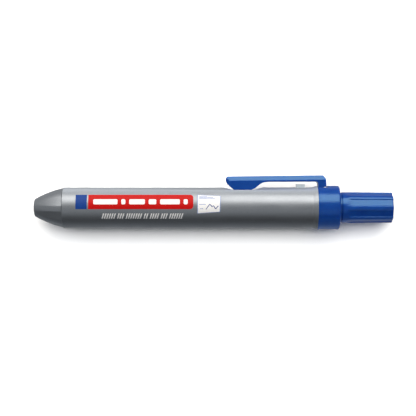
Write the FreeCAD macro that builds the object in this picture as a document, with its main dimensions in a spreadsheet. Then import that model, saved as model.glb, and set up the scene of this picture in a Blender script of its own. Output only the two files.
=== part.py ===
import FreeCAD, Part
import math
import os

import Sketcher

# A retractable whiteboard marker. It is drawn with X as the distance behind the nose face and the
# marker's axis on X, and every body is then moved so that the origin is the middle of the grip.

doc = FreeCAD.newDocument("marker")
sheet = doc.addObject("Spreadsheet::Sheet", "Dims")
bodies = []


class Size:
    """A length or angle that carries its spreadsheet expression and its value together."""

    def __init__(self, text, value):
        self.text = text
        self.value = value

    def __add__(self, other):
        other = as_size(other)
        return Size(f"{self.text} + {other.text}", self.value + other.value)

    def __sub__(self, other):
        other = as_size(other)
        return Size(f"{self.text} - ({other.text})", self.value - other.value)

    def __mul__(self, factor):
        return Size(f"({self.text}) * {factor}", self.value * factor)


def as_size(item):
    return item if isinstance(item, Size) else Size(repr(float(item)), float(item))


def dim(alias, value):
    """Puts one driving dimension in the sheet and gives it back as a Size."""
    row = dim.rows = getattr(dim, "rows", 0) + 1
    sheet.set(f"A{row}", alias)
    sheet.set(f"B{row}", str(value))
    sheet.setAlias(f"B{row}", alias)
    return Size(f"Dims.{alias}", value)


# ---- driving dimensions, in millimetres and degrees ----

overall_length = dim("overall_length", 143.2)
grip_centre = dim("grip_centre", 44.0)
stroke = dim("stroke", 13.0)
running_gap = dim("running_gap", 0.08)

barrel_radius = dim("barrel_radius", 8.1)
barrel_front = dim("barrel_front", 11.6)
barrel_rear = dim("barrel_rear", 113.2)
barrel_bore = dim("barrel_bore", 6.2)
end_bore = dim("end_bore", 6.9)
socket_depth = dim("socket_depth", 6.6)
rear_chamber = dim("rear_chamber", 93.5)
flare_start = dim("flare_start", 111.4)
flare_radius = dim("flare_radius", 8.7)

dish_start = dim("dish_start", 75.9)
dish_end = dim("dish_end", 91.4)
dish_ramp = dim("dish_ramp", 4.0)
dish_floor = dim("dish_floor", 6.9)
window_start = dim("window_start", 104.4)
window_end = dim("window_end", 108.7)
window_width = dim("window_width", 3.7)

mouth_radius = dim("mouth_radius", 2.1)
lip_radius = dim("lip_radius", 3.0)
lip_depth = dim("lip_depth", 1.6)
nose_front_radius = dim("nose_front_radius", 3.5)
nose_rear_radius = dim("nose_rear_radius", 7.85)
nose_arc = dim("nose_arc", 41.0)
shutter_room = dim("shutter_room", 3.6)
facet_start = dim("facet_start", 4.0)
facet_depth = dim("facet_depth", 0.22)
facet_width = dim("facet_width", 4.4)
facet_turn = dim("facet_turn", 26.0)

leaf_plane = dim("leaf_plane", 4.4)
leaf_hinge = dim("leaf_hinge", 2.75)
leaf_thickness = dim("leaf_thickness", 0.4)
leaf_width = dim("leaf_width", 3.7)
knuckle_radius = dim("knuckle_radius", 0.42)
knuckle_length = dim("knuckle_length", 2.9)
shutter_pin_radius = dim("shutter_pin_radius", 0.22)
shutter_pin_length = dim("shutter_pin_length", 4.9)

collar_radius = dim("collar_radius", 8.8)
collar_rear = dim("collar_rear", 122.0)
notch_floor = dim("notch_floor", 8.0)
notch_end = dim("notch_end", 117.2)

knob_radius = dim("knob_radius", 6.2)
knob_rear_radius = dim("knob_rear_radius", 6.06)
knob_front = dim("knob_front", 118.0)
flute_start = dim("flute_start", 124.1)
flute_ramp = dim("flute_ramp", 2.8)
flute_depth = dim("flute_depth", 0.42)
flute_width = dim("flute_width", 2.8)
flute_turn = dim("flute_turn", 24.75)
key_slot_end = dim("key_slot_end", 121.4)

tube_radius = dim("tube_radius", 4.6)
tube_bore = dim("tube_bore", 3.7)
tube_front = dim("tube_front", 24.0)
tube_rear = dim("tube_rear", 126.0)
catch_floor = dim("catch_floor", 4.15)
catch_start = dim("catch_start", 94.9)
catch_length = dim("catch_length", 2.3)

nib_tip = dim("nib_tip", 10.4)
nib_radius = dim("nib_radius", 1.15)
nib_rear = dim("nib_rear", 44.0)

latch_pivot = dim("latch_pivot", 101.5)
latch_height = dim("latch_height", 5.85)
latch_width = dim("latch_width", 3.2)
latch_pin_radius = dim("latch_pin_radius", 0.5)
latch_pin_length = dim("latch_pin_length", 8.0)

spring_start = dim("spring_start", 56.4)
spring_length = dim("spring_length", 33.0)
spring_radius = dim("spring_radius", 5.3)
spring_wire = dim("spring_wire", 0.6)
spring_turns = dim("spring_turns", 11)

spring_seat_place = dim("spring_seat_place", 54.8)
spring_collar_place = dim("spring_collar_place", 90.0)
seat_width = dim("seat_width", 1.2)
bush_place = dim("bush_place", 27.0)
bush_length = dim("bush_length", 4.0)
press_gap = dim("press_gap", 0.02)

clip_width = dim("clip_width", 5.4)
tang_width = dim("tang_width", 4.0)

doc.recompute()


# ---- ways of making a solid ----


def new_body(name):
    """An empty body with the frame's placement; its Label is the file's name."""
    body = doc.addObject("PartDesign::Body", name)
    body.Label = name
    body.setExpression("Placement.Base.x", "-Dims.grip_centre")
    bodies.append(body)
    return body


def role(body, wanted):
    return next(f for f in body.Origin.OriginFeatures if f.Role == wanted)


def new_sketch(body, name, turn=None):
    """A sketch on the body's middle plane through the clip, turned about the axis if turn is given."""
    sketch = body.newObject("Sketcher::SketchObject", name)
    sketch.AttachmentSupport = [(role(body, "XY_Plane"), "")]
    sketch.MapMode = "FlatFace"
    if turn is not None:
        sketch.AttachmentOffset = FreeCAD.Placement(
            FreeCAD.Vector(), FreeCAD.Rotation(FreeCAD.Vector(1, 0, 0), turn.value)
        )
        sketch.setExpression("AttachmentOffset.Rotation.Angle", turn.text)
    return sketch


def bind(sketch, number, size):
    sketch.setExpression(f"Constraints[{number}]", size.text)


def fix_point(sketch, side, end, across, up):
    """Fixes one end of a side, or a circle's centre, to two bound distances from the origin."""
    for kind, place in (("DistanceX", across), ("DistanceY", up)):
        distance = Sketcher.Constraint(kind, -1, 1, side, end, place.value)
        bind(sketch, sketch.addConstraint(distance), place)


def arc_between(a, b, radius, hand):
    """The short, anticlockwise arc that bulges to the left of the way from a to b, or for hand -1 right."""
    chord = b - a
    rise = radius - math.sqrt(radius**2 - (chord.Length / 2) ** 2)
    left = FreeCAD.Vector(-chord.y, chord.x, 0).normalize()
    middle = (a + b) * 0.5 + left * (rise * hand)
    return Part.Arc(b, middle, a) if hand > 0 else Part.Arc(a, middle, b)


def outline(sketch, corners, arcs=None):
    """A closed outline through corners; arcs gives {side: (radius, hand)} for the curved sides."""
    arcs = arcs or {}
    places = [(as_size(x), as_size(y)) for x, y in corners]
    points = [FreeCAD.Vector(x.value, y.value, 0) for x, y in places]
    count = len(points)
    ends = []
    for n in range(count):
        a, b = points[n], points[(n + 1) % count]
        forward = True
        if n in arcs:
            radius, hand = arcs[n]
            sketch.addGeometry(arc_between(a, b, radius.value, hand), False)
            start = sketch.Geometry[n].StartPoint
            forward = (start - a).Length < (start - b).Length
            bend = sketch.addConstraint(Sketcher.Constraint("Radius", n, radius.value))
            bind(sketch, bend, radius)
        else:
            sketch.addGeometry(Part.LineSegment(a, b), False)
        ends.append((1, 2) if forward else (2, 1))
    for n in range(count):
        after = (n + 1) % count
        joined = Sketcher.Constraint("Coincident", n, ends[n][1], after, ends[after][0])
        sketch.addConstraint(joined)
    for n in range(count):
        fix_point(sketch, n, ends[n][0], *places[n])


def turned(name, corners, arcs=None):
    """A body turned about the marker's axis from a closed outline of (along, radius) corners."""
    body = new_body(name)
    sketch = new_sketch(body, f"{name}_outline")
    outline(sketch, corners, arcs)
    turning = body.newObject("PartDesign::Revolution", f"{name}_turning")
    turning.Profile = sketch
    turning.ReferenceAxis = (sketch, ["H_Axis"])
    turning.Angle = 360
    sketch.Visibility = False
    return body


def ring(name, start, end, inner, outer):
    """A plain tube between two distances along the axis."""
    return turned(name, [(start, inner), (end, inner), (end, outer), (start, outer)])


def extruded(name, corners, width, arcs=None):
    """A body with a side outline, as wide as width about the middle plane."""
    body = new_body(name)
    sketch = new_sketch(body, f"{name}_outline")
    outline(sketch, corners, arcs)
    pad = body.newObject("PartDesign::Pad", f"{name}_pad")
    pad.Profile = sketch
    pad.SideType = "Symmetric"
    pad.setExpression("Length", as_size(width).text)
    sketch.Visibility = False
    return body


def cut_across(body, name, corners, width, turn=None, arcs=None):
    """Cuts a side outline out of a body, as wide as width about the middle plane."""
    before = volume(body)
    sketch = new_sketch(body, f"{name}_outline", turn)
    outline(sketch, corners, arcs)
    pocket = body.newObject("PartDesign::Pocket", name)
    pocket.Profile = sketch
    pocket.SideType = "Symmetric"
    pocket.setExpression("Length", as_size(width).text)
    sketch.Visibility = False
    if volume(body) >= before:
        raise RuntimeError(f"{name} cuts nothing from {body.Label}")
    return pocket


def cut_sides(body, name, corners, kept_width):
    """Cuts a side outline away on both sides of a middle strip of the kept width."""
    before = volume(body)
    for word, half in (("near", 0.5), ("far", -0.5)):
        sketch = new_sketch(body, f"{name}_{word}_outline")
        edge = kept_width * half
        sketch.AttachmentOffset.Base.z = edge.value
        sketch.setExpression("AttachmentOffset.Base.z", edge.text)
        outline(sketch, corners)
        pocket = body.newObject("PartDesign::Pocket", f"{name}_{word}")
        pocket.Profile = sketch
        pocket.Length = 2.0
        pocket.Reversed = half > 0
    if volume(body) >= before:
        raise RuntimeError(f"{name} cuts nothing from {body.Label}")


def volume(body):
    doc.recompute()
    return body.Shape.Volume


def around(body, feature, count):
    """Repeats a cut evenly about the marker's axis."""
    pattern = body.newObject("PartDesign::PolarPattern", f"{feature.Name}_pattern")
    pattern.Originals = [feature]
    pattern.Axis = (role(body, "X_Axis"), [""])
    pattern.Angle = 360
    pattern.Occurrences = count
    body.Tip = pattern
    return pattern


def box_outline(start, end, low, high):
    return [(start, low), (end, low), (end, high), (start, high)]


# ---- barrel: the grey tube with the dish under the clip's tip and the window of the latch ----

barrel_edge = 0.5
barrel = turned(
    "barrel",
    [
        (barrel_front, end_bore),
        (barrel_front + socket_depth, end_bore),
        (barrel_front + socket_depth, barrel_bore),
        (rear_chamber, barrel_bore),
        (rear_chamber, end_bore),
        (barrel_rear, end_bore),
        (barrel_rear, flare_radius),
        (flare_start, barrel_radius),
        (barrel_front + barrel_edge, barrel_radius),
        (barrel_front, barrel_radius - 0.35),
    ],
)
above = 2.0
cut_across(
    barrel,
    "clip_dish",
    [
        (dish_start + dish_ramp, dish_floor),
        (dish_end - dish_ramp, dish_floor),
        (dish_end, barrel_radius),
        (dish_end, barrel_radius + above),
        (dish_start, barrel_radius + above),
        (dish_start, barrel_radius),
    ],
    barrel_radius * 2.2,
)
cut_across(
    barrel,
    "latch_window",
    box_outline(window_start, window_end, tube_radius, barrel_radius + above),
    window_width,
)

# ---- nose cone: pressed into the barrel, with eight shallow facets and room for the shutter ----

spigot_end = barrel_front + socket_depth - 0.4
spigot_radius = end_bore - 0.03
groove_start = barrel_front + 2.8
groove_floor = 6.3
groove_width = 1.4
guide_end = 8.2
guide_radius = 2.6
nose_lip_rear = 0.35
nose = turned(
    "nose_cone",
    [
        (0.0, mouth_radius),
        (lip_depth, mouth_radius),
        (lip_depth, shutter_room),
        (leaf_plane + 1.3, shutter_room),
        (leaf_plane + 1.3, guide_radius),
        (guide_end, guide_radius),
        (guide_end + 0.8, 5.4),
        (spigot_end, 5.4),
        (spigot_end, spigot_radius),
        (groove_start + groove_width, spigot_radius),
        (groove_start + groove_width, groove_floor),
        (groove_start, groove_floor),
        (groove_start, spigot_radius),
        (barrel_front, spigot_radius),
        (barrel_front, nose_rear_radius),
        (nose_lip_rear, nose_front_radius),
        (0.0, lip_radius),
    ],
    arcs={14: (nose_arc, -1)},
)
facet = cut_across(
    nose,
    "nose_facet",
    [
        (facet_start, 5.25),
        (barrel_front, nose_rear_radius - facet_depth),
        (barrel_front, nose_rear_radius + 1.0),
        (facet_start, nose_rear_radius + 1.0),
    ],
    facet_width,
    turn=facet_turn,
    arcs={0: (nose_arc, 1)},
)
around(nose, facet, 8)

ring("nose_gasket", groove_start + 0.1, groove_start + 1.3, groove_floor + 0.02, end_bore)
ring("mouth_seal", leaf_plane + 0.6, leaf_plane + 1.25, guide_radius - 0.05, shutter_room)

# ---- shutter: two leaves that close the mouth, each on a pin across the nose ----


def leaf(name, side):
    """One leaf: a plate from its knuckle to the middle of the mouth; side is +1 or -1."""
    half = leaf_thickness * 0.5
    reach = 0.05
    body = new_body(name)
    plate_sketch = new_sketch(body, f"{name}_plate_outline")
    low, high = (reach, leaf_hinge) if side > 0 else (leaf_hinge * -1, -reach)
    outline(
        plate_sketch, box_outline(leaf_plane - half, leaf_plane + half, low, high)
    )
    plate = body.newObject("PartDesign::Pad", f"{name}_plate")
    plate.Profile = plate_sketch
    plate.SideType = "Symmetric"
    plate.setExpression("Length", leaf_width.text)
    knuckle_sketch = new_sketch(body, f"{name}_knuckle_outline")
    hinge = leaf_hinge * side
    circle(knuckle_sketch, leaf_plane, hinge, knuckle_radius)
    knuckle = body.newObject("PartDesign::Pad", f"{name}_knuckle")
    knuckle.Profile = knuckle_sketch
    knuckle.SideType = "Symmetric"
    knuckle.setExpression("Length", knuckle_length.text)
    trim_knuckle(body, name, hinge, side)
    before = volume(body)
    bore_sketch = new_sketch(body, f"{name}_bore_outline")
    circle(bore_sketch, leaf_plane, hinge, shutter_pin_radius + 0.03)
    bore = body.newObject("PartDesign::Pocket", f"{name}_bore")
    bore.Profile = bore_sketch
    bore.SideType = "Symmetric"
    bore.setExpression("Length", (leaf_width * 2).text)
    if volume(body) >= before:
        raise RuntimeError(f"the bore of {name} cuts nothing")
    return body


def circle(sketch, across, up, radius):
    """A circle with its centre and radius bound."""
    across, up, radius = as_size(across), as_size(up), as_size(radius)
    middle = FreeCAD.Vector(across.value, up.value, 0)
    sketch.addGeometry(
        Part.Circle(middle, FreeCAD.Vector(0, 0, 1), radius.value), False
    )
    fix_point(sketch, 0, 3, across, up)
    bind(sketch, sketch.addConstraint(Sketcher.Constraint("Radius", 0, radius.value)), radius)


def trim_knuckle(body, name, hinge, side):
    """Cuts the plate's wide corners beside the knuckle, so that they clear the round room."""
    reach = 0.52
    inner = hinge - reach * side
    low, high = (inner, hinge + 1.0) if side > 0 else (hinge - 1.0, inner)
    corners = box_outline(leaf_plane - 1.0, leaf_plane + 1.0, low, high)
    cut_sides(body, f"{name}_knuckle_end", corners, knuckle_length)


leaf("upper_leaf", 1)
leaf("lower_leaf", -1)


def cross_pins(name, places, radius, length):
    """Plain round pins across the marker, along Z, as one node of separate solids."""
    pins = []
    for number, (along, height) in enumerate(places, 1):
        pin = doc.addObject("Part::Cylinder", f"{name}_{number}")
        pin.setExpression("Radius", radius.text)
        pin.setExpression("Height", length.text)
        pin.setExpression("Placement.Base.x", (along - grip_centre).text)
        pin.setExpression("Placement.Base.y", height.text)
        pin.setExpression("Placement.Base.z", (length * -0.5).text)
        pins.append(pin)
    if len(pins) == 1:
        pins[0].Label = name
        bodies.append(pins[0])
        return
    group = doc.addObject("Part::Compound", name)
    group.Label = name
    group.Links = pins
    bodies.append(group)


cross_pins(
    "shutter_pins",
    [(leaf_plane, leaf_hinge), (leaf_plane, leaf_hinge * -1)],
    shutter_pin_radius,
    shutter_pin_length,
)

# ---- collar: blue ring at the barrel's rear, notched for the clip, that guides the knob ----

collar = turned(
    "collar",
    [
        (barrel_rear - 4.0, knob_radius + running_gap),
        (collar_rear, knob_radius + running_gap),
        (collar_rear, collar_radius - 0.35),
        (collar_rear - 0.35, collar_radius),
        (barrel_rear, collar_radius),
        (barrel_rear, end_bore - 0.03),
        (barrel_rear - 4.0, end_bore - 0.03),
    ],
)
cut_across(
    collar,
    "clip_notch",
    box_outline(barrel_rear - 0.01, notch_end, notch_floor, collar_radius + above),
    collar_radius * 2,
)
cut_across(
    collar,
    "clip_socket",
    box_outline(barrel_rear + 0.7, barrel_rear + 2.8, 6.75, notch_floor + above),
    4.3,
)

# ---- clip: one springy blue moulding that rocks on its foot in the collar's notch ----

clip = extruded(
    "clip",
    [
        (76.4, 10.8),
        (77.3, 9.4),
        (78.4, 8.35),
        (79.9, 7.1),
        (87.1, 7.1),
        (88.2, 7.7),
        (89.9, 9.1),
        (90.8, 9.8),
        (91.9, 10.3),
        (111.9, 10.35),
        (113.1, 9.9),
        (113.5, 8.9),
        (114.0, 8.2),
        (114.4, 8.2),
        (114.4, 6.88),
        (115.6, 6.88),
        (115.6, 8.2),
        (116.1, 8.2),
        (116.65, 9.0),
        (116.55, 11.6),
        (115.5, 12.95),
        (77.1, 12.45),
        (76.55, 11.9),
    ],
    clip_width,
)
cut_sides(clip, "tang", box_outline(113.0, 117.0, 6.0, 8.19), tang_width)

# ---- release latch: a rocker on a pin; its hook holds the plunger and its lug shows ----

latch = extruded(
    "release_latch",
    [
        (95.3, 4.8),
        (96.5, 4.8),
        (97.0, 5.12),
        (103.2, 5.12),
        (103.6, 5.75),
        (108.2, 5.75),
        (108.2, 9.34),
        (104.8, 9.34),
        (104.8, 6.4),
        (99.8, 6.4),
        (98.6, 5.85),
        (95.3, 5.85),
    ],
    latch_width,
)
pivot_outline = new_sketch(latch, "latch_pivot_outline")
circle(pivot_outline, latch_pivot, latch_height, latch_pin_radius + running_gap)
pivot_hole = latch.newObject("PartDesign::Pocket", "latch_pivot_hole")
pivot_hole.Profile = pivot_outline
pivot_hole.SideType = "Symmetric"
pivot_hole.setExpression("Length", (latch_width * 2).text)

cross_pins(
    "latch_pin",
    [(latch_pivot, latch_height)],
    latch_pin_radius,
    latch_pin_length,
)
extruded(
    "latch_spring",
    [(94.0, 6.68), (96.2, 6.0), (97.9, 6.6), (97.9, 6.76), (96.2, 6.18), (94.0, 6.84)],
    1.6,
)

# ---- plunger: ink tube, fibre ink store, nib and push knob, which slide as one ----

catch_step = catch_start + stroke
turned(
    "ink_tube",
    [
        (tube_front, tube_bore),
        (tube_rear, tube_bore),
        (tube_rear, tube_radius),
        (catch_step + catch_length, tube_radius),
        (catch_step + catch_length, catch_floor),
        (catch_step, catch_floor),
        (catch_step, tube_radius),
        (catch_start + catch_length, tube_radius),
        (catch_start + catch_length, catch_floor),
        (catch_start, catch_floor),
        (catch_start, tube_radius),
        (tube_front, tube_radius),
    ],
)
plug_length = 6.0
turned(
    "nib_holder",
    [
        (nib_tip + 4.6, nib_radius),
        (tube_front + plug_length, nib_radius),
        (tube_front + plug_length, tube_bore - 0.03),
        (tube_front + 3.6, tube_bore - 0.03),
        (tube_front + 3.6, tube_bore - 0.6),
        (tube_front + 2.5, tube_bore - 0.6),
        (tube_front + 2.5, tube_bore - 0.03),
        (tube_front, tube_bore - 0.03),
        (tube_front, tube_radius - 0.2),
        (tube_front - 0.9, tube_radius - 0.2),
        (tube_front - 0.9, 2.3),
        (nib_tip + 7.6, 2.3),
        (nib_tip + 5.1, 2.0),
        (nib_tip + 4.6, 1.6),
    ],
)
ring("holder_seal", tube_front + 2.6, tube_front + 3.5, tube_bore - 0.58, tube_bore)
turned(
    "nib",
    [
        (nib_tip, 0.0),
        (nib_rear, 0.0),
        (nib_rear, nib_radius),
        (nib_tip + 1.2, nib_radius),
        (nib_tip, 0.5),
    ],
)
core_front = tube_front + plug_length + 0.3
core_rear = 112.0
turned(
    "ink_core",
    [
        (core_front, nib_radius + 0.02),
        (nib_rear + 0.3, nib_radius + 0.02),
        (nib_rear + 0.3, 0.0),
        (core_rear, 0.0),
        (core_rear, tube_bore - 0.04),
        (core_front, tube_bore - 0.04),
    ],
)
turned(
    "tube_plug",
    [(112.4, 0.0), (tube_rear - 8.0, 0.0), (tube_rear - 8.0, tube_bore), (112.4, tube_bore)],
)
spring_collar_end = spring_collar_place + seat_width
spring_seat_end = spring_seat_place + seat_width
collar_reach = barrel_bore - 0.12
ring("spring_collar", spring_collar_place, spring_collar_end, tube_radius + press_gap, collar_reach)
ring("spring_seat", spring_seat_place, spring_seat_end, tube_radius + running_gap, barrel_bore)
ring("guide_bush", bush_place, bush_place + bush_length, tube_radius + running_gap, barrel_bore)

knob = turned(
    "push_knob",
    [
        (knob_front, tube_radius + press_gap),
        (tube_rear + 0.2, tube_radius + press_gap),
        (tube_rear + 0.2, 4.4),
        (overall_length - 1.8, 4.4),
        (overall_length - 1.8, 0.0),
        (overall_length, 0.0),
        (overall_length, knob_rear_radius - 0.6),
        (overall_length - 0.6, knob_rear_radius),
        (collar_rear + 0.7, knob_radius),
        (knob_front, knob_radius),
    ],
)
cut_across(
    knob,
    "key_slot",
    box_outline(knob_front - 1.0, key_slot_end, 4.2, knob_radius + above),
    4.4,
)
flute = cut_across(
    knob,
    "knob_flute",
    [
        (flute_start, knob_radius + 0.02),
        (flute_start + flute_ramp, knob_radius - flute_depth),
        (overall_length + 1.0, knob_rear_radius - flute_depth),
        (overall_length + 1.0, knob_radius + above),
        (flute_start, knob_radius + above),
    ],
    flute_width,
    turn=flute_turn,
)
around(knob, flute, 8)

# ---- return spring: a compression coil round the ink tube ----

spring = new_body("return_spring")
wire_outline = new_sketch(spring, "spring_wire_outline")
circle(wire_outline, spring_start, spring_radius, spring_wire * 0.5)
coil = spring.newObject("PartDesign::AdditiveHelix", "spring_coil")
coil.Profile = wire_outline
coil.ReferenceAxis = (wire_outline, ["H_Axis"])
coil.Mode = "height-turns-angle"
coil.setExpression("Height", spring_length.text)
coil.setExpression("Turns", spring_turns.text)
wire_outline.Visibility = False

doc.recompute()

# ---- checks and files ----

for thing in doc.Objects:
    if "Invalid" in thing.State or "Error" in thing.State:
        raise RuntimeError(f"{thing.Label} failed: {thing.State}")
for body in bodies:
    if body.Shape.isNull() or not body.Shape.isValid() or not body.Shape.Solids:
        raise RuntimeError(f"{body.Label} has no valid solid")

os.makedirs("parts", exist_ok=True)
for body in bodies:
    body.Shape.exportStep(f"parts/{body.Label}.step")
    box = body.Shape.BoundBox
    print(
        f"{body.Label:15s} {len(body.Shape.Solids)} solid(s) {body.Shape.Volume:9.1f} mm3"
        f"  X {box.XMin:6.1f} {box.XMax:6.1f}  Y {box.YMin:5.2f} {box.YMax:5.2f}"
        f"  Z {box.ZMin:5.2f} {box.ZMax:5.2f}"
    )
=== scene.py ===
import math

import bmesh
import bpy
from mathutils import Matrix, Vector


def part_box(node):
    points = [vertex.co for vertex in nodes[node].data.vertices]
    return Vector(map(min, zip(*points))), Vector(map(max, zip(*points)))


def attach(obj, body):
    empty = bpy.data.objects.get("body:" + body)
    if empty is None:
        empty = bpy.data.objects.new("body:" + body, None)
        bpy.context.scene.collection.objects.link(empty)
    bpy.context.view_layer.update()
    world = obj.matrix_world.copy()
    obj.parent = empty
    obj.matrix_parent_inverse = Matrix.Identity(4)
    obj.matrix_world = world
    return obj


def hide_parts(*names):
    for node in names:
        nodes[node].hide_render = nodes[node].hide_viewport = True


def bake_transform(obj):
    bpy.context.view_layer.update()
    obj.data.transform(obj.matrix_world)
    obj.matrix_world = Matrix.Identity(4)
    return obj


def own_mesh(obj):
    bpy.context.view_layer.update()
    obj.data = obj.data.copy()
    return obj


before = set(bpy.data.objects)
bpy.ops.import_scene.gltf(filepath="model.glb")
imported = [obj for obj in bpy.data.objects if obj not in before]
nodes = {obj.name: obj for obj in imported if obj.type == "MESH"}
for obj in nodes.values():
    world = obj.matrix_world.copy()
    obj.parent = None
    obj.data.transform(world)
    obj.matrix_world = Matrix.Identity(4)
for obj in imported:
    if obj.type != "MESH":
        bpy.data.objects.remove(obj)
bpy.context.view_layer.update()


# ---- the studio ------------------------------------------------------------------------------
# The marker lies on its side on a white table, seen from straight above. A wide softbox stands
# behind it, on the clip's side, and the room is grey, darkest low down on the other side.

MM = 0.001
nose_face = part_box("nose_cone")[0].x
table_height = min(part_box(n)[0].z for n in ("collar", "barrel"))


def along(distance):
    """The place on the axis that is a distance in millimetres behind the nose's front face."""
    return nose_face + distance * MM


def linear(hex_colour):
    """An sRGB hex colour as the linear RGBA that shaders take."""
    parts = [int(hex_colour[i : i + 2], 16) / 255 for i in (1, 3, 5)]
    return [c / 12.92 if c <= 0.04045 else ((c + 0.055) / 1.055) ** 2.4 for c in parts] + [1.0]


def add_node(tree, kind, inputs=None, links=None, **settings):
    """Adds a node, sets its properties and sockets, and links its inputs from other sockets."""
    node = tree.nodes.new(kind)
    for key, value in settings.items():
        setattr(node, key, value)
    for key, value in (inputs or {}).items():
        node.inputs[key].default_value = value
    for key, source in (links or {}).items():
        tree.links.new(source, node.inputs[key])
    return node


def new_material(name, **sockets):
    """A material with one Principled shader; returns it with its tree and shader."""
    material = bpy.data.materials.new(name)
    material.use_nodes = True
    shader = material.node_tree.nodes["Principled BSDF"]
    for key, value in sockets.items():
        shader.inputs[key.replace("_", " ")].default_value = value
    return material, material.node_tree, shader


def give(piece, material):
    """Puts one material on a piece."""
    piece.data.materials.clear()
    piece.data.materials.append(material)


view_centre = along(69.5)
camera_height = 0.5
camera = bpy.data.objects.new("camera", bpy.data.cameras.new("camera"))
camera.data.sensor_width = 36
camera.data.lens = 108
camera.data.clip_start = 0.01
camera.location = (view_centre, -0.16 * MM, camera_height)
bpy.context.scene.collection.objects.link(camera)
bpy.context.scene.camera = camera


def studio_piece(name, bm, material):
    """Makes a piece of the studio, which is not part of the marker, of a bmesh."""
    mesh = bpy.data.meshes.new(name)
    bm.to_mesh(mesh)
    bm.free()
    piece = bpy.data.objects.new(name, mesh)
    bpy.context.scene.collection.objects.link(piece)
    give(piece, material)
    return piece


bm = bmesh.new()
bmesh.ops.create_grid(bm, x_segments=1, y_segments=1, size=3)
bmesh.ops.translate(bm, verts=bm.verts, vec=(0, 0, table_height))
white_card, tree, shader = new_material("white_card", Base_Color=linear("#F6F6F6"), Roughness=0.9)
table = studio_piece("table", bm, white_card)


def softbox(name, place, target, size, brightness, tint="#FFFFFF"):
    """A rectangular light panel with a given brightness (radiance) that faces a target."""
    light = bpy.data.lights.new(name, "AREA")
    light.shape = "RECTANGLE"
    light.size, light.size_y = size
    light.energy = brightness * math.pi * size[0] * size[1]
    light.color = linear(tint)[:3]
    panel = bpy.data.objects.new(name, light)
    panel.location = place
    panel.rotation_euler = (Vector(target) - Vector(place)).to_track_quat("-Z", "Y").to_euler()
    panel.visible_camera = False
    bpy.context.scene.collection.objects.link(panel)
    return panel


softbox("back_softbox", (along(80), 0.79, 0.61), (along(80), 0, 0), (1.45, 0.80), 4.0, "#FFF9F1")

# The table has its own lamp, nearly overhead, and the room shows in the marker's gloss in its
# place, so that the white card stays white and the shadow stays short.
marker_middle = along(72)
table_lamp = softbox(
    "table_lamp", (marker_middle, 0.31, 0.95), (marker_middle, 0, 0), (2.4, 0.54), 4.2
)
lit = bpy.data.collections.new("lit_by_table_lamp")
lit.objects.link(table)
table_lamp.light_linking.receiver_collection = lit
table.visible_glossy = False
table.visible_diffuse = False

world = bpy.data.worlds.new("studio")
world.use_nodes = True
bpy.context.scene.world = world
tree = world.node_tree
direction = add_node(tree, "ShaderNodeTexCoord")
across = add_node(tree, "ShaderNodeSeparateXYZ", links={"Vector": direction.outputs["Generated"]})
tilt = add_node(
    tree, "ShaderNodeMath", links={0: across.outputs["Y"], 1: across.outputs["Z"]}, operation="ARCTAN2"
)
turn = add_node(
    tree, "ShaderNodeMapRange", {"From Min": -math.pi, "From Max": math.pi}, {"Value": tilt.outputs[0]}
)
room = add_node(tree, "ShaderNodeValToRGB", links={"Fac": turn.outputs["Result"]})
room_levels = (
    (-180, 0.45), (-147, 0.42), (-118, 0.38), (-99, 0.18), (-80, 0.05), (-60, 0.04), (-48, 0.12),
    (-36, 0.33), (-27, 0.48), (-14, 0.48), (-5, 0.32), (12, 0.28), (30, 0.36), (75, 0.36),
    (92, 0.30), (133, 0.5), (180, 0.45),
)
room_tint = (0.97, 1, 1.04)
for place, level in room_levels[1:-1]:
    room.color_ramp.elements.new((place + 180) / 360)
for stop, (place, level) in zip(room.color_ramp.elements, room_levels):
    stop.position = (place + 180) / 360
    stop.color = [level * part for part in room_tint] + [1]
background = tree.nodes["Background"]
tree.links.new(room.outputs["Color"], background.inputs["Color"])
bpy.context.scene.view_settings.view_transform = "Standard"

# Low views look past the table to a pale paper cyclorama, which neither lights the marker nor
# shades it.
bm = bmesh.new()
bmesh.ops.create_uvsphere(bm, u_segments=48, v_segments=24, radius=2.9)
pale_paper, tree, shader = new_material(
    "pale_paper", Base_Color=linear("#202020"), Roughness=0.9, Emission_Color=linear("#F4F5F6"),
    Emission_Strength=0.95,
)
backdrop = studio_piece("backdrop", bm, pale_paper)
backdrop.visible_diffuse = backdrop.visible_glossy = backdrop.visible_shadow = False
backdrop.visible_transmission = False


# ---- barrel ----------------------------------------------------------------------------------
# A plastic tube sprayed with a satin silver-grey metallic lacquer. It is moulded with a flat dish
# under the clip's tip, a window for the release lug and a flare where it meets the collar.


def new_piece(name, bm, body, stands_for=(), sharp=30):
    """Makes a piece of a bmesh, shades it smooth up to an angle and lets it ride on a body."""
    mesh = bpy.data.meshes.new(name)
    bm.to_mesh(mesh)
    bm.free()
    for face in mesh.polygons:
        face.use_smooth = True
    mesh.set_sharp_from_angle(angle=math.radians(sharp))
    piece = bpy.data.objects.new(name, mesh)
    bpy.context.scene.collection.objects.link(piece)
    if body:
        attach(piece, body)
    if stands_for:
        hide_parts(*stands_for)
    return piece


def closed_outline(bm, corners, rounds=None, segments=4):
    """A closed loop of edges through (along, radius) corners in mm, some of them rounded."""
    verts = [bm.verts.new((along(x), r * MM, 0)) for x, r in corners]
    for a, b in zip(verts, verts[1:] + verts[:1]):
        bm.edges.new((a, b))
    for number, radius in (rounds or {}).items():
        bmesh.ops.bevel(
            bm, geom=[verts[number]], offset=radius * MM, segments=segments,
            profile=0.5, affect="VERTICES", material=-1,
        )


def spin_round(bm, steps):
    """Turns the outline about the marker's axis into a closed solid with outward faces."""
    bmesh.ops.spin(
        bm, geom=bm.verts[:] + bm.edges[:], cent=(0, 0, 0), axis=(1, 0, 0),
        angle=math.tau, steps=steps, use_merge=True,
    )
    bmesh.ops.remove_doubles(bm, verts=bm.verts, dist=1e-7)
    bmesh.ops.recalc_face_normals(bm, faces=bm.faces)


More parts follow.
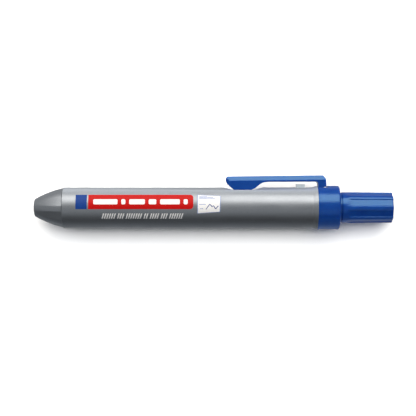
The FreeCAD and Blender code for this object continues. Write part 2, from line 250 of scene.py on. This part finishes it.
def side_solid(bm, corners, half_width, rounds=None, segments=4):
    """A solid with a side outline of (along, height) corners in mm, extruded across the marker."""
    closed_outline(bm, corners, rounds, segments)
    bmesh.ops.translate(bm, verts=bm.verts, vec=(0, 0, -half_width * MM))
    face = bmesh.ops.contextual_create(bm, geom=bm.edges[:])["faces"]
    grown = bmesh.ops.extrude_face_region(bm, geom=face)["geom"]
    moved = [v for v in grown if isinstance(v, bmesh.types.BMVert)]
    bmesh.ops.translate(bm, verts=moved, vec=(0, 0, 2 * half_width * MM))
    bmesh.ops.recalc_face_normals(bm, faces=bm.faces)


def carve(piece, corners, half_width, rounds=None, segments=4, sharp=30):
    """Cuts the side solid of an outline out of a piece and tidies its shading."""
    bm = bmesh.new()
    side_solid(bm, corners, half_width, rounds, segments)
    mesh = bpy.data.meshes.new("cutter")
    bm.to_mesh(mesh)
    bm.free()
    cutter = bpy.data.objects.new("cutter", mesh)
    bpy.context.scene.collection.objects.link(cutter)
    cut = piece.modifiers.new("cut", "BOOLEAN")
    cut.operation = "DIFFERENCE"
    cut.solver = "EXACT"
    cut.object = cutter
    bpy.context.view_layer.update()
    shaped = piece.evaluated_get(bpy.context.evaluated_depsgraph_get())
    piece.data = bpy.data.meshes.new_from_object(shaped)
    piece.modifiers.clear()
    bpy.data.objects.remove(cutter)
    piece.data.set_sharp_from_angle(angle=math.radians(sharp))


barrel_radius = 8.1
barrel_front = 11.6
barrel_rear = 113.2

bm = bmesh.new()
closed_outline(
    bm,
    [
        (barrel_front, 6.9), (17.5, 6.9), (17.5, 6.25), (94.0, 6.25), (94.0, 6.92),
        (barrel_rear, 6.92), (barrel_rear, 8.72), (112.6, 8.62), (111.2, barrel_radius),
        (barrel_front + 0.16, barrel_radius), (barrel_front, 7.88),
    ],
    rounds={9: 0.08, 8: 0.3, 6: 0.12},
)
spin_round(bm, 192)
barrel = new_piece("barrel_shell", bm, "barrel", ["barrel"])

dish = [
    (73.0, 8.6), (75.4, 8.2), (79.9, 6.95), (87.3, 6.95), (91.9, 8.2), (94.0, 8.6), (94.0, 12),
    (73.0, 12),
]
carve(barrel, dish, 10, rounds={2: 1.6, 3: 1.6}, segments=6)
lug_window = [(104.5, 5.5), (108.6, 5.5), (108.6, 9), (104.5, 9)]
carve(barrel, lug_window, 1.8)


def grain(tree, millimetres, detail=2.0):
    """Noise on Object coordinates whose lumps are about so many millimetres across."""
    place = add_node(tree, "ShaderNodeTexCoord")
    return add_node(
        tree, "ShaderNodeTexNoise", {"Scale": 1000 / millimetres, "Detail": detail},
        {"Vector": place.outputs["Object"]},
    )


def between(tree, source, low, high):
    """Maps the middle of a 0 to 1 pattern to a range of numbers."""
    return add_node(
        tree, "ShaderNodeMapRange",
        {"From Min": 0.35, "From Max": 0.65, "To Min": low, "To Max": high}, {"Value": source},
    ).outputs["Result"]


def bumped(tree, shader, source, depth_mm, strength):
    """Gives a shader a bump of a real depth."""
    bump = add_node(
        tree, "ShaderNodeBump", {"Distance": depth_mm * MM, "Strength": strength}, {"Height": source}
    )
    tree.links.new(bump.outputs["Normal"], shader.inputs["Normal"])


def two_tones(tree, source, dark, light):
    """A colour that runs from one hex colour to another as a pattern goes from 0 to 1."""
    ramp = add_node(tree, "ShaderNodeValToRGB", links={"Fac": source})
    ramp.color_ramp.elements[0].position = 0.3
    ramp.color_ramp.elements[0].color = linear(dark)
    ramp.color_ramp.elements[1].position = 0.7
    ramp.color_ramp.elements[1].color = linear(light)
    return ramp.outputs["Color"]


# Metallic lacquer: fine aluminium flake in a grey base, so it mirrors the room softly, with a
# faint sparkle of flake and a roughness that drifts where hands have polished it.
silver_lacquer, tree, shader = new_material("silver_metallic_lacquer", Metallic=0.75, Roughness=0.4)
flake = grain(tree, 0.25, 1.0)
drift = grain(tree, 9.0, 3.0)
tree.links.new(
    two_tones(tree, flake.outputs["Fac"], "#868B91", "#92979D"), shader.inputs["Base Color"]
)
tree.links.new(between(tree, drift.outputs["Fac"], 0.38, 0.46), shader.inputs["Roughness"])
bumped(tree, shader, flake.outputs["Fac"], 0.004, 0.25)
give(barrel, silver_lacquer)


# ---- prints ----------------------------------------------------------------------------------
# Screen-printed ink on the lacquer: a red bar with plain white dashes, a blue patch, a row of
# slanted strokes and a small white panel with ruled lines. Ink films are a few hundredths thick.

film = 0.025
sunk = 0.05
bend_step = 0.3


def wrapped(name, shapes, material, level=1, rounded=4):
    """Flat shapes of (along, round-the-barrel) corners in mm, laid on the barrel as ink films."""
    bm = bmesh.new()
    for corners, radius in shapes:
        shape = bmesh.new()
        verts = [shape.verts.new((x, y, 0)) for x, y in corners]
        shape.faces.new(verts)
        if radius:
            bmesh.ops.bevel(
                shape, geom=verts[-rounded:], offset=radius, segments=6, profile=0.5,
                affect="VERTICES", material=-1,
            )
        low = min(v.co.y for v in shape.verts)
        high = max(v.co.y for v in shape.verts)
        for count in range(1, int((high - low) / bend_step) + 1):
            bmesh.ops.bisect_plane(
                shape, geom=shape.verts[:] + shape.edges[:] + shape.faces[:],
                plane_co=(0, low + count * bend_step, 0), plane_no=(0, 1, 0),
            )
        flat = bpy.data.meshes.new("flat")
        shape.to_mesh(flat)
        shape.free()
        bm.from_mesh(flat)
        bpy.data.meshes.remove(flat)
    bmesh.ops.recalc_face_normals(bm, faces=bm.faces)
    for face in bm.faces:
        if face.normal.z < 0:
            face.normal_flip()
    grown = bmesh.ops.extrude_face_region(bm, geom=bm.faces[:], use_keep_orig=True)["geom"]
    top = {v for v in grown if isinstance(v, bmesh.types.BMVert)}
    bmesh.ops.recalc_face_normals(bm, faces=bm.faces)
    for vert in bm.verts:
        out = barrel_radius + (level * film if vert in top else -sunk)
        turn = vert.co.y / barrel_radius
        vert.co = (along(vert.co.x), out * math.sin(turn) * MM, out * math.cos(turn) * MM)
    bmesh.ops.recalc_face_normals(bm, faces=bm.faces)
    give(new_piece(name, bm, "barrel"), material)


def arc_height(degrees):
    """How far round the barrel an angle from the top is, towards the clip, in mm."""
    return math.radians(degrees) * barrel_radius


def printed_ink(name, light, dark):
    """Screen ink: an even, slightly glossy film with a faint mottle from the mesh."""
    material, tree, shader = new_material(name, Roughness=0.45, Specular_IOR_Level=0.15)
    mottle = grain(tree, 0.6, 2.0)
    tree.links.new(two_tones(tree, mottle.outputs["Fac"], dark, light), shader.inputs["Base Color"])
    bumped(tree, shader, mottle.outputs["Fac"], 0.003, 0.2)
    return material


def oblong(start, end, low, high, radius=0.0, slant=0.0):
    """A four-cornered shape; slant moves its top along, towards the knob."""
    return ([(start, low), (end, low), (end + slant, high), (start + slant, high)], radius)


red_ink = printed_ink("red_screen_ink", "#C60806", "#BE0705")
white_ink = printed_ink("white_screen_ink", "#FBFBFB", "#F4F4F4")
blue_ink = printed_ink("blue_screen_ink", "#14418F", "#113B85")
pale_blue_ink = printed_ink("pale_blue_screen_ink", "#8FA3D2", "#8599CB")

bar_low, bar_high = arc_height(-4.3), arc_height(38.6)
bar = [(22.2, bar_high), (22.2, bar_low), (63.7, bar_low), (63.7, bar_high)]
wrapped("print_red_bar", [(bar, 1.3)], red_ink, rounded=2)
wrapped("print_blue_patch", [oblong(17.2, 21.65, bar_low, bar_high)], blue_ink)

dash_low, dash_high = arc_height(9.0), arc_height(24.0)
dash_gap = 1.5
dashes = []
start = 24.2
for length in (9.6, 1.6, 6.2, 3.0, 7.8, 1.6):
    dashes.append(oblong(start, start + length, dash_low, dash_high, 0.5))
    start += length + dash_gap
wrapped("print_white_dashes", dashes, white_ink, level=2)

stroke_low, stroke_high = arc_height(-32.5), arc_height(-16.5)
stroke_width, stroke_pitch, group_gap = 0.5, 0.92, 0.6
strokes = []
start = 27.4
for count in (6, 3, 7, 2, 4, 3, 6):
    for number in range(count):
        left = start + number * stroke_pitch
        strokes.append(oblong(left, left + stroke_width, stroke_low, stroke_high, slant=0.7))
    start += count * stroke_pitch + group_gap
wrapped("print_slanted_strokes", strokes, white_ink)

panel = [
    (65.3, arc_height(-17.0)), (74.3, arc_height(-12.5)),
    (74.5, arc_height(34.5)), (65.3, arc_height(38.5)),
]
wrapped("print_panel_edge", [(panel, 0.0)], pale_blue_ink)
panel_middle = Vector((69.9, arc_height(11.0)))
inset = [tuple(panel_middle + (Vector(p) - panel_middle) * 0.955) for p in panel]
wrapped("print_panel", [(inset, 0.0)], white_ink, level=2)
rules = [
    (66.0, 69.2, 33.0), (66.0, 71.6, 29.5), (66.0, 72.2, 26.5),
    (66.0, 68.6, 9.0), (66.4, 67.6, -3.0),
]
half_rule = 0.11
lines = [
    oblong(a, b, arc_height(t) - half_rule, arc_height(t) + half_rule) for a, b, t in rules
]
wrapped("print_panel_lines", lines, pale_blue_ink, level=3)
zigzag = [(68.7, -4.5), (70.2, 9.5), (71.1, 3.0), (71.7, 5.0), (72.5, -3.5), (73.6, 5.0)]
half_leg = 0.14
legs = []
for (a, low), (b, high) in zip(zigzag, zigzag[1:]):
    first, last = Vector((a, arc_height(low))), Vector((b, arc_height(high)))
    across = (last - first).orthogonal().normalized() * half_leg
    corners = [first - across, last - across, last + across, first + across]
    legs.append(([tuple(corner) for corner in corners], 0.0))
wrapped("print_panel_zigzag", legs, blue_ink, level=3)


# ---- nose cone -------------------------------------------------------------------------------
# A separate moulding pushed into the barrel and lacquered with it: a rounded cone with eight
# shallow flats that end in a step at the barrel, and a rounded lip round the mouth.


def arc_corners(a, b, radius, count):
    """Points on the arc from a to b that bulges outwards, both ends included."""
    a, b = Vector(a), Vector(b)
    chord = b - a
    left = Vector((-chord.y, chord.x)).normalized()
    rise = radius - math.sqrt(radius**2 - (chord.length / 2) ** 2)
    centre = (a + b) / 2 + left * (rise - radius)
    first = math.atan2(a.y - centre.y, a.x - centre.x)
    last = math.atan2(b.y - centre.y, b.x - centre.x)
    turns = [first + (last - first) * n / count for n in range(count + 1)]
    return [tuple(centre + radius * Vector((math.cos(t), math.sin(t)))) for t in turns]


def shape_round(bm, change):
    """Moves each outer point in or out: change takes its distance, radius and angle in mm."""
    for vert in bm.verts:
        radius = math.hypot(vert.co.y, vert.co.z) / MM
        if radius > 1e-6:
            turn = math.degrees(math.atan2(vert.co.z, vert.co.y))
            new = change((vert.co.x - nose_face) / MM, radius, turn)
            vert.co.y *= new / radius
            vert.co.z *= new / radius


def off_centre(turn, first, pitch):
    """The angle from the middle of the nearest flat, in degrees."""
    return (turn - first + pitch / 2) % pitch - pitch / 2


nose_flats = 8
facet_turn = 26.0
facet_start = 2.2
facet_depth = 0.25


def cut_facets(x, radius, turn):
    """Flats that start behind the lip and deepen towards the barrel."""
    if x < facet_start or x > barrel_front - 0.05 or radius < 4.5:
        return radius
    share = ((x - facet_start) / (barrel_front - facet_start)) ** 0.6
    angle = math.radians(off_centre(turn, facet_turn, 360 / nose_flats))
    return min(radius, (radius - facet_depth * share) / math.cos(angle))


bm = bmesh.new()
ogive = arc_corners((0.35, 3.55), (11.45, 7.84), 41.0, 28)[::-1]
closed_outline(
    bm,
    [
        (1.6, 2.1), (1.6, 3.6), (5.7, 3.6), (5.7, 2.6), (8.2, 2.6), (9.0, 5.4), (17.8, 5.4),
        (17.8, 6.87), (barrel_front, 6.87), (barrel_front, 7.66), *ogive, (0.0, 2.95), (0.0, 2.1),
    ],
    rounds={10 + len(ogive): 0.3, 11 + len(ogive): 0.15},
)
spin_round(bm, 360)
shape_round(bm, cut_facets)
nose = new_piece("nose_shell", bm, "barrel", ["nose_cone"], sharp=12)
nose_lacquer = silver_lacquer.copy()
nose_lacquer.name = "silver_metallic_lacquer_nose"
give(nose, nose_lacquer)


# ---- blue mouldings --------------------------------------------------------------------------
# Collar, clip and knob are glossy polypropylene, coloured through: a deep blue with a skin that
# is smooth but not optically flat, so the softbox shows as a slightly wavy pale band.


def blue_plastic_material(name, light, dark, roughness):
    """Glossy coloured polypropylene: light spreads a little inside it, and its skin is wavy."""
    material, tree, shader = new_material(
        name, Roughness=roughness, IOR=1.49, Specular_IOR_Level=0.8,
        Specular_Tint=linear("#ADE9FF"), Subsurface_Weight=0.5, Subsurface_Radius=(0.3, 0.6, 1.0),
        Subsurface_Scale=3.5 * MM,
    )
    cloud = grain(tree, 5.0, 2.0)
    orange_peel = grain(tree, 0.5, 1.0)
    tree.links.new(two_tones(tree, cloud.outputs["Fac"], dark, light), shader.inputs["Base Color"])
    tree.links.new(
        between(tree, cloud.outputs["Fac"], roughness - 0.03, roughness + 0.05),
        shader.inputs["Roughness"],
    )
    bumped(tree, shader, orange_peel.outputs["Fac"], 0.006, 0.2)
    return material


blue_plastic = blue_plastic_material("blue_polypropylene", "#043F98", "#033A90", 0.2)

collar_radius = 8.8
collar_rear = 122.0
bm = bmesh.new()
closed_outline(
    bm,
    [
        (109.2, 6.3), (collar_rear, 6.3), (collar_rear, collar_radius), (barrel_rear, collar_radius),
        (barrel_rear, 6.88), (109.2, 6.88),
    ],
    rounds={1: 0.2, 2: 0.75, 3: 0.12},
)
spin_round(bm, 192)
collar = new_piece("collar_ring", bm, "barrel", ["collar"])
clip_flat = [(112.5, 8.0), (117.2, 8.0), (117.2, 12), (112.5, 12)]
carve(collar, clip_flat, 10)
clip_notch = [(113.9, 6.75), (116.0, 6.75), (116.0, 9), (113.9, 9)]
carve(collar, clip_notch, 2.15)
give(collar, blue_plastic)


# ---- clip ------------------------------------------------------------------------------------
# One moulding with the collar's colour: a straight arm with a bevelled crown, a deep tip that
# sits in the barrel's dish, and a foot that drops into the collar's notch.

clip_half_width = 2.7
tip_height = 12.45
crown_drop, crown_side = 1.75, 1.0


def saw_off(bm, place, facing):
    """Saws off what lies beyond a plane and closes the cut with a flat face."""
    cut = bmesh.ops.bisect_plane(
        bm, geom=bm.verts[:] + bm.edges[:] + bm.faces[:], plane_co=place, plane_no=facing,
        clear_outer=True,
    )
    rim = [e for e in cut["geom_cut"] if isinstance(e, bmesh.types.BMEdge)]
    bmesh.ops.contextual_create(bm, geom=rim)
    bmesh.ops.recalc_face_normals(bm, faces=bm.faces)


bm = bmesh.new()
side_solid(
    bm,
    [
        (76.4, 10.9), (77.3, 9.35), (78.4, 8.35), (79.9, 7.1), (87.1, 7.1), (88.3, 7.75), (90.0, 9.15),
        (91.4, 10.05), (93.4, 10.33), (113.3, 10.4), (113.5, 8.04), (114.4, 8.04), (114.4, 6.88),
        (115.6, 6.88), (115.6, 8.1), (116.75, 8.2), (116.56, 11.55), (115.5, 12.93), (77.0, tip_height),
    ],
    clip_half_width,
    rounds={0: 0.7, 3: 0.3, 4: 0.5, 7: 1.0, 8: 1.5, 9: 0.75, 16: 0.35, 17: 0.35, 18: 0.5},
)
for side in (1, -1):
    saw_off(
        bm, (along(77.0), (tip_height - crown_drop) * MM, side * clip_half_width * MM),
        (-0.0125 * crown_side, crown_side, side * crown_drop),
    )
    saw_off(
        bm, (along(78.15), 0, side * clip_half_width * MM), (-crown_side, 0, side * crown_drop)
    )
clip = new_piece("clip_arm", bm, "clip", ["clip"], sharp=25)
edge = clip.modifiers.new("soft_edges", "BEVEL")
edge.width = 0.12 * MM
edge.segments = 2
edge.limit_method = "ANGLE"
edge.angle_limit = math.radians(25)
give(clip, blue_plastic)


# ---- push knob -------------------------------------------------------------------------------
# A hollow polypropylene cap that slides in the collar: a plain ring at its front, then eight
# flat-bottomed flutes that run out of its rear rim, for the thumb.

knob_radius = 6.2
knob_rear = 143.2
flutes = 8
flute_turn = 24.75
flute_start, flute_full = 124.1, 126.9
flute_half, flute_wall = 12.2, 2.2
flute_depth = 0.5
rib_round = 0.16


def cut_flutes(x, radius, turn):
    """Flat-bottomed flutes between rounded ribs, which fade in behind the plain ring."""
    if x < flute_start or radius < 4.6:
        return radius
    share = min(1.0, (x - flute_start) / (flute_full - flute_start))
    share = share * share * (3 - 2 * share)
    angle = abs(off_centre(turn, flute_turn, 360 / flutes))
    floor = (knob_radius - flute_depth) / math.cos(math.radians(min(angle, flute_half)))
    wall = min(1.0, max(0.0, (angle - flute_half) / flute_wall))
    wall = wall * wall * (3 - 2 * wall)
    depth = (knob_radius - floor) * (1 - wall) * share
    crest = rib_round * share * ((180 / flutes - angle) / (180 / flutes - flute_half)) ** 2
    return radius - depth - crest * wall


bm = bmesh.new()
ramp = [(flute_full - (flute_full - flute_start) * n / 10, knob_radius) for n in range(11)]
closed_outline(
    bm,
    [
        (118.0, 4.62), (126.2, 4.62), (126.2, 4.4), (141.4, 4.4), (141.4, 3.0), (knob_rear - 0.15, 3.0),
        (knob_rear, 3.4), (knob_rear, 6.06), *ramp, (123.0, knob_radius), (122.75, 5.95), (118.0, 5.95),
    ],
    rounds={7: 0.5, 19: 0.2},
    segments=5,
)
spin_round(bm, 360)
shape_round(bm, cut_flutes)
knob = new_piece("push_knob_cap", bm, "plunger", ["push_knob"], sharp=20)
latch_slot = [(117.0, 4.2), (121.4, 4.2), (121.4, 8.0), (117.0, 8.0)]
carve(knob, latch_slot, 2.2, sharp=20)
give(knob, blue_plastic)


# ---- release lug -----------------------------------------------------------------------------
# The only part of the latch that shows: a clear, faintly smoky lug that stands through the
# barrel's window under the clip, and is pressed to let the knob spring back.

smoky, tree, shader = new_material("clear_smoky_plastic", Roughness=0.25, IOR=1.5)
cloud = grain(tree, 1.5, 2.0)
tree.links.new(two_tones(tree, cloud.outputs["Fac"], "#D5E2EC", "#E3EDF4"), shader.inputs["Base Color"])
shader.inputs["Transmission Weight"].default_value = 0.15
give(nodes["release_latch"], smoky)


# ---- inside ----------------------------------------------------------------------------------
# What the shells hide, shown as it is made: natural white mouldings, black rubber rings, drawn
# steel pins and springs, a fibre ink store and a felt nib.


def plain_plastic(name, light, dark, roughness, lump=4.0):
    """An even moulding material whose tone and gloss drift a little."""
    material, tree, shader = new_material(name, Roughness=roughness, IOR=1.5)
    cloud = grain(tree, lump, 2.0)
    tree.links.new(two_tones(tree, cloud.outputs["Fac"], dark, light), shader.inputs["Base Color"])
    tree.links.new(
        between(tree, cloud.outputs["Fac"], roughness - 0.04, roughness + 0.06),
        shader.inputs["Roughness"],
    )
    return material


white_plastic = plain_plastic("natural_white_polypropylene", "#E4E3DD", "#DAD9D2", 0.35)
shutter_plastic = plain_plastic("dark_grey_acetal", "#5A5F66", "#4F545B", 0.3, 1.5)
rubber = plain_plastic("black_rubber", "#1C1C1D", "#151516", 0.7, 1.0)
for name in ("ink_tube", "nib_holder", "tube_plug", "spring_collar", "spring_seat", "guide_bush"):
    give(nodes[name], white_plastic)
for name in ("upper_leaf", "lower_leaf"):
    give(nodes[name], shutter_plastic)
for name in ("nose_gasket", "mouth_seal", "holder_seal"):
    give(nodes[name], rubber)

steel, tree, shader = new_material("drawn_steel", Metallic=1.0, Roughness=0.25)
streak = grain(tree, 0.4, 3.0)
tree.links.new(two_tones(tree, streak.outputs["Fac"], "#8E9093", "#A9ABAE"), shader.inputs["Base Color"])
for name in ("shutter_pins", "latch_pin"):
    give(nodes[name], steel)

spring_start, spring_end = 56.4, 89.4
spring_radius, wire_radius = 5.3, 0.3
coils, coil_steps = 11, 36
bm = bmesh.new()
bmesh.ops.create_circle(bm, segments=12, radius=wire_radius * MM)
bmesh.ops.translate(bm, verts=bm.verts, vec=(along(spring_start), spring_radius * MM, 0))
bmesh.ops.contextual_create(bm, geom=bm.edges[:])
bmesh.ops.spin(
    bm, geom=bm.faces[:], cent=(0, 0, 0), axis=(1, 0, 0), angle=math.tau * coils,
    dvec=((spring_end - spring_start) * MM / (coils * coil_steps), 0, 0), steps=coils * coil_steps,
)
bmesh.ops.recalc_face_normals(bm, faces=bm.faces)
return_coil = new_piece("return_coil", bm, None, ["return_spring"])
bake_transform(return_coil)
give(return_coil, steel)

bm = bmesh.new()
side_solid(
    bm, [(94.0, 6.68), (96.2, 6.0), (97.9, 6.6), (97.9, 6.76), (96.2, 6.18), (94.0, 6.84)], 0.8,
    rounds={1: 0.3, 4: 0.4}, segments=6,
)
latch_strip = new_piece("latch_strip", bm, "barrel", ["latch_spring"])
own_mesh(latch_strip)
give(latch_strip, steel)


def fibre_material(name, light, dark, strand_mm):
    """Bundled fibres that run along the marker: noise drawn out along X."""
    material, tree, shader = new_material(name, Roughness=0.85, Sheen_Weight=0.3)
    place = add_node(tree, "ShaderNodeTexCoord")
    drawn = add_node(
        tree, "ShaderNodeMapping", {"Scale": (0.06, 1, 1)}, {"Vector": place.outputs["Object"]}
    )
    strands = add_node(
        tree, "ShaderNodeTexNoise", {"Scale": 1000 / strand_mm, "Detail": 3.0},
        {"Vector": drawn.outputs["Vector"]},
    )
    tree.links.new(two_tones(tree, strands.outputs["Fac"], dark, light), shader.inputs["Base Color"])
    bumped(tree, shader, strands.outputs["Fac"], 0.05, 0.6)
    return material


give(nodes["ink_core"], fibre_material("inked_polyester_fibre", "#2457B4", "#163A86", 0.3))
give(nodes["nib"], fibre_material("inked_felt", "#1D4BA8", "#0F2F76", 0.2))


# ---- glow of the table -----------------------------------------------------------------------
# The white card throws light up at the marker's flanks. A panel on each side stands for it, one
# for the lacquer and one for the blue mouldings, and the card itself doesn't stop it.


def table_glow(name, tilt, spread, brightness, pieces, tint="#FFFFFF"):
    """A light panel at an angle from straight up, towards the clip, that lights some pieces only."""
    turn = math.radians(tilt)
    height = 2 * math.tan(math.radians(spread))
    middle = (marker_middle, 0, 0)
    place = (marker_middle, math.sin(turn), math.cos(turn))
    panel = softbox(name, place, middle, (1.7, height), brightness, tint)
    shone_on = bpy.data.collections.new(name)
    for piece in pieces:
        shone_on.objects.link(piece)
    panel.light_linking.receiver_collection = shone_on
    panel.light_linking.blocker_collection = shone_on


table_glow("lacquer_glow", 115, 24, 1.5, (barrel,))
table_glow("plastic_glow", -95, 40, 0.45, (collar, clip, knob), "#A9CCFF")
